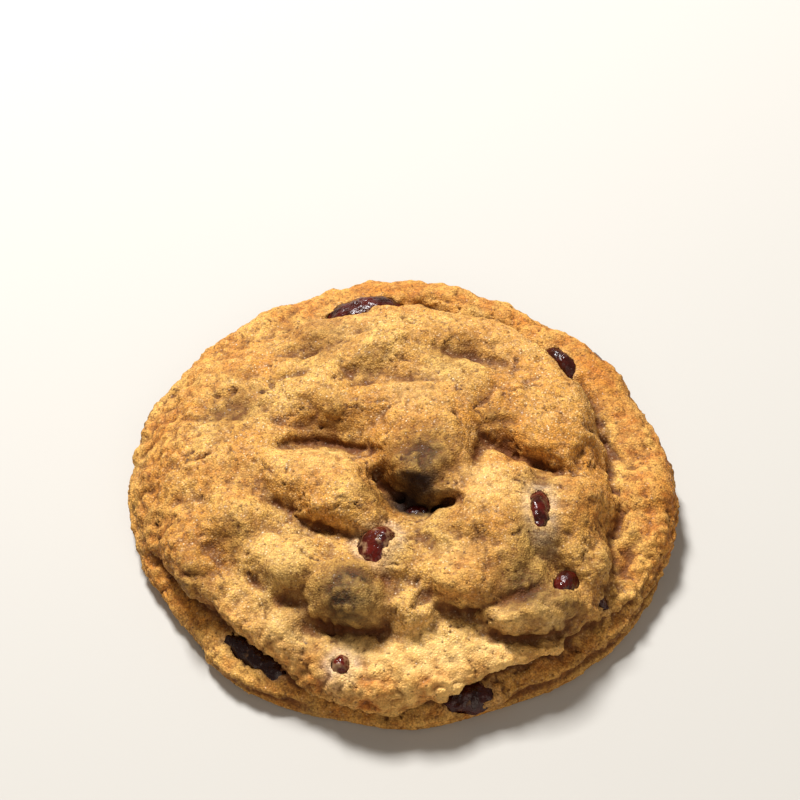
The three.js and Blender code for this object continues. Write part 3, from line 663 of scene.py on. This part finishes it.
def mark_crust(crust, grooves):
    """Keeps on each vertex how toasted, stained, pressed and knobbly the crust is, where shade and light are
    painted on it, and how freely it moves.

    Distances are in mm, angles in degrees from +X, and a normal's parts go from -1 to 1.
    """
    points = places(crust)
    x, y, z = (points / MM).T
    facing = np.empty(len(points) * 3, np.float32)
    crust.data.vertex_normals.foreach_get("vector", facing)
    facing = facing.reshape(-1, 3)
    radius = np.hypot(x, y)
    angle = np.degrees(np.arctan2(y, x))

    # The rims and the side took more heat than the top, and the rim at the back took most.
    back_rim = faded(radius, 30.5, 35) * faded(angle, -45, -15) * (1 - faded(angle, 118, 140))
    left_rim = faded(radius, 33, 39) * (1 - back_rim)
    wall = (1 - faded(np.abs(facing[:, 2]), 0.35, 0.85)) * (1 - faded(z, 6, 8.5)) * faded(radius, 30, 36)
    toast = np.maximum(np.maximum(0.62 * back_rim, 0.4 * left_rim), 0.35 * wall)
    store(crust, "toast", np.clip(np.maximum(toast, in_patches(x, y, TOASTED) * faded(z, 2, 6)), 0, 1))
    store(crust, "wall", wall)
    # Paler where it baked least, and painted light in the strong patches along the front lip.
    store(crust, "underbaked_and_lit", in_patches(x, y, PALE) * faded(z, 3.5, 5.5))

    apart = nearest(points, np.concatenate([places(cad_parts[name]) for name in CHIP_NODES]))
    aside = nearest(points, grooves)

    # Painted shade: a groove is dark in a narrow and a wide band along it, most of all on its steep walls.
    steep = 0.2 + 0.8 * (1 - faded(facing[:, 2], 0.6, 0.92))
    store(crust, "groove_shade", steep * (0.5 * (1 - faded(aside, 0.15, 0.6)) + 0.5 * (1 - faded(aside, 0.3, 2.0))))
    # Grey-brown over buried chips, and dark enough in places to paint the shade under the folds.
    store(crust, "stain", np.clip(in_patches(x, y, GREYED) * faded(z, 4, 7), 0, 1))

    # Every chip has a narrow pale edge of dough round it, and the smeared ones a wide one.
    smears = nearest(points, np.concatenate([places(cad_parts[name]) for name in SMEARED]))
    store(crust, "halo", np.maximum(0.5 * (1 - faded(apart, 0.2, 1.2)), 1 - faded(smears, 0.4, 2.6)))

    # Painted shade over the hollow: the front-facing dough there is black-brown partly from chocolate rubbed off
    # and partly as shade under the overhang, and the hollow's floor is dark only as shade.
    rub_x, rub_y, rub_reach = RUBBED_AND_SHADED
    front = faded(-facing[:, 1], 0.25, 0.75) * faded(z, 4, 7)
    over = front * np.exp(-((x - rub_x) ** 2 + (y - rub_y) ** 2) / rub_reach**2)
    low_x, low_y, low_reach = HOLLOW
    floor = np.exp(-(((x - low_x) ** 2 + (y - low_y) ** 2) / low_reach**2) ** 2)
    under = (1 - faded(z, 11.2, 13.6)) * faded(z, 4, 7) * floor
    store(crust, "rubbed_and_hollow_shade", np.maximum(over, under))

    pressed = np.zeros_like(x)
    for at_x, at_y, long, wide, turn, height in DENTS:
        along = (x - at_x) * math.cos(math.radians(turn)) + (y - at_y) * math.sin(math.radians(turn))
        across = (y - at_y) * math.cos(math.radians(turn)) - (x - at_x) * math.sin(math.radians(turn))
        pressed += height * MM * np.exp(-((along / long) ** 2) - (across / wide) ** 2)
    pressed *= faded(facing[:, 2], 0.1, 0.5) * faded(apart, 0.2, 1.5)

    # Round a chip the dough laps over its edge in ragged places.
    lapped = np.zeros_like(x)
    for i in np.flatnonzero(apart < 1.4):
        lapped[i] = max(noise.noise(Vector((x[i], y[i], z[i])) / 1.6) + 0.2, 0)
    store(crust, "pressed", pressed + 0.85 * MM * lapped * (1 - faded(apart, 0.3, 1.4)))

    # Knobs stand on the front lip and on both sides of the rim, and the relief ends at the floor.
    lip = 1.3 * faded(z, 4, 6) * faded(radius, 35, 38) * faded(-y, 10, 20)
    right = faded(-angle, 60, 20) * (angle < -10)
    left = faded(np.abs(np.abs(angle) - 175), 50, 20)
    store(crust, "knobbly", np.maximum(faded(radius, 29, 35) * np.clip(right + left, 0, 1) * (1 - 0.6 * wall), lip))
    store(crust, "free", faded(z, 0.1, 1.2) * (0.7 + 0.3 * faded(apart, 0.3, 1.8)))


class COOKIE_OT_dough(bpy.types.Operator):
    """Makes the crust over the dough's solid: creases, crumbs, cracks and pores"""

    bl_idname = "cookie.dough"
    bl_label = "Dough"

    def execute(self, context):
        sizes = context.scene.cookie_crust
        crust = solid_copy("dough", "crust")
        rods = [crease_groove(crease, crust) for crease in CREASES] + [seam_groove(seam, crust) for seam in SEAMS]
        pick(*rods)
        bpy.ops.object.join()
        rods = context.object
        grooves = places(rods)
        apply_modifier(crust, "BOOLEAN", operation="DIFFERENCE", object=rods, use_self=True)
        bpy.data.objects.remove(rods)
        apply_modifier(crust, "SUBSURF", levels=1, render_levels=1)
        apply_modifier(crust, "REMESH", mode="VOXEL", voxel_size=sizes.voxel)
        apply_modifier(crust, "SMOOTH", factor=0.5, iterations=3)
        mark_crust(crust, grooves)
        crust.modifiers.new("Crumbs", "NODES").node_group = crumb_relief(sizes)
        pick(crust)
        bpy.ops.object.modifier_apply(modifier="Crumbs")
        points = places(crust)
        points[:, 2] = np.maximum(points[:, 2], 0)
        crust.data.vertices.foreach_set("co", points.ravel())

        # The flat underside needs few faces. The remesh left four-sided ones, so thinning none would double them.
        underside = np.flatnonzero(points[:, 2] < 0.1 * MM)
        crust.vertex_groups.new(name="underside").add(underside.tolist(), 1.0, "REPLACE")
        unthinned = 2 * len(crust.data.polygons)
        ratio = 1 - 0.94 * (len(underside) / len(points))
        apply_modifier(crust, "DECIMATE", ratio=ratio, vertex_group="underside", vertex_group_factor=1.0)
        crust.vertex_groups.clear()
        if len(crust.data.polygons) >= unthinned:
            raise RuntimeError("the underside of the crust wasn't thinned")
        bpy.ops.object.shade_smooth()
        crust.data.materials.append(crust_material(sizes))
        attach(crust, "root")
        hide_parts("dough")
        return {"FINISHED"}


class COOKIE_OT_chips(bpy.types.Operator):
    """Makes each chocolate chip over its solid: rounded, slightly slumped and grown to meet the dough"""

    bl_idname = "cookie.chips"
    bl_label = "Chips"

    def execute(self, context):
        looks = context.scene.cookie_chocolate
        material = chocolate_material(looks)
        lumps = bpy.data.textures.new("MeltedLumps", "CLOUDS")
        lumps.noise_scale = 2.6 * MM
        nicks = bpy.data.textures.new("MeltedNicks", "CLOUDS")
        nicks.noise_scale = 1.0 * MM
        for node in CHIP_NODES:
            chip = solid_copy(node, node.replace("chip_", "chocolate_"))
            apply_modifier(chip, "SUBSURF", levels=3, render_levels=3)
            apply_modifier(chip, "DISPLACE", strength=looks.grown, mid_level=0.0)
            apply_modifier(chip, "DISPLACE", strength=0.9 * MM, mid_level=0.55, texture=lumps, texture_coords="LOCAL")
            apply_modifier(chip, "DISPLACE", strength=0.3 * MM, mid_level=0.5, texture=nicks, texture_coords="LOCAL")
            store(chip, "filmed", np.full(len(chip.data.vertices), FILMED.get(node, 0.0)))
            store(chip, "reddened", np.full(len(chip.data.vertices), REDDENED.get(node, LITTLE_RED)))
            bpy.ops.object.shade_smooth()
            chip.data.materials.append(material)
            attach(chip, "root")
            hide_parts(node)
        return {"FINISHED"}


class COOKIE_OT_stage(bpy.types.Operator):
    """Sets the floor, the lights and the camera"""

    bl_idname = "cookie.stage"
    bl_label = "Stage"

    def execute(self, context):
        stage = context.scene.cookie_stage
        bpy.ops.object.select_all(action="DESELECT")
        bpy.ops.mesh.primitive_plane_add(size=6, location=(0, 0, -0.05 * MM))
        floor = context.object
        floor.name = "floor"
        bpy.ops.object.transform_apply(location=True, rotation=True, scale=True)
        floor.data.materials.append(board_material(stage.floor))

        # The main light stands behind and to the left, as in the photograph, so the folds shade towards the
        # viewer, and a weak, warm one fills from the front.
        for name, place, size, power, colour in (
            ("Key", (-0.18, 0.44, 0.65), 0.18, stage.key, (1, 1, 1)),
            ("Fill", (0.2, -0.64, 0.44), 0.6, stage.key * 0.14, (1, 0.88, 0.74)),
        ):
            bpy.ops.object.light_add(type="AREA", location=place)
            lamp = context.object
            lamp.name = name
            lamp.data.energy = power
            lamp.data.size = size
            lamp.data.color = colour
            lamp.rotation_mode = "QUATERNION"
            lamp.rotation_quaternion = (-Vector(place)).to_track_quat("-Z", "Y")
        world = bpy.data.worlds.new("Studio")
        context.scene.world = world
        world.use_nodes = True
        air = world.node_tree.nodes["Background"]
        air.inputs["Color"].default_value = (1, 0.92, 0.84, 1)
        air.inputs["Strength"].default_value = 0.22
        context.scene.view_settings.view_transform = "Standard"

        # The photograph is 800 pixels wide, and its centre lies 70.5 of them above the cookie's. The camera is
        # fitted to a place 7 mm over the floor.
        reach = 800 / 2 / math.tan(stage.view / 2)
        tilt = stage.elevation - math.atan(70.5 / reach)
        back = math.cos(stage.elevation) * stage.distance
        up = math.sin(stage.elevation) * stage.distance
        bpy.ops.object.camera_add(
            location=(-0.23 * MM, -0.3 * MM - back, 7 * MM + up), rotation=(math.pi / 2 - tilt, 0, 0)
        )
        camera = context.object
        camera.data.sensor_width = 36
        camera.data.lens = camera.data.sensor_width / 2 / math.tan(stage.view / 2)
        camera.data.clip_start = 0.01
        context.scene.camera = camera
        return {"FINISHED"}


class COOKIE_PT_panel(bpy.types.Panel):
    """Lists the steps that make the cookie, and its settings"""

    bl_idname = "COOKIE_PT_panel"
    bl_label = "Cookie"
    bl_space_type = "VIEW_3D"
    bl_region_type = "UI"
    bl_category = "Cookie"

    def draw(self, context):
        steps = {"cookie_crust": "cookie.dough", "cookie_chocolate": "cookie.chips", "cookie_stage": "cookie.stage"}
        for group, step in steps.items():
            settings = getattr(context.scene, group)
            box = self.layout.box()
            box.operator(step)
            for name in settings.bl_rna.properties.keys():
                if name not in ("rna_type", "name"):
                    box.prop(settings, name)


CLASSES = (
    CookieCrust, CookieChocolate, CookieStage,
    COOKIE_OT_dough, COOKIE_OT_chips, COOKIE_OT_stage, COOKIE_PT_panel,
)


def register():
    for item in CLASSES:
        bpy.utils.register_class(item)
    bpy.types.Scene.cookie_crust = bpy.props.PointerProperty(type=CookieCrust)
    bpy.types.Scene.cookie_chocolate = bpy.props.PointerProperty(type=CookieChocolate)
    bpy.types.Scene.cookie_stage = bpy.props.PointerProperty(type=CookieStage)


def unregister():
    del bpy.types.Scene.cookie_stage, bpy.types.Scene.cookie_chocolate, bpy.types.Scene.cookie_crust
    for item in reversed(CLASSES):
        bpy.utils.unregister_class(item)


def main():
    register()
    bpy.ops.cookie.stage()
    bpy.ops.cookie.dough()
    bpy.ops.cookie.chips()


if __name__ == "__main__":
    main()
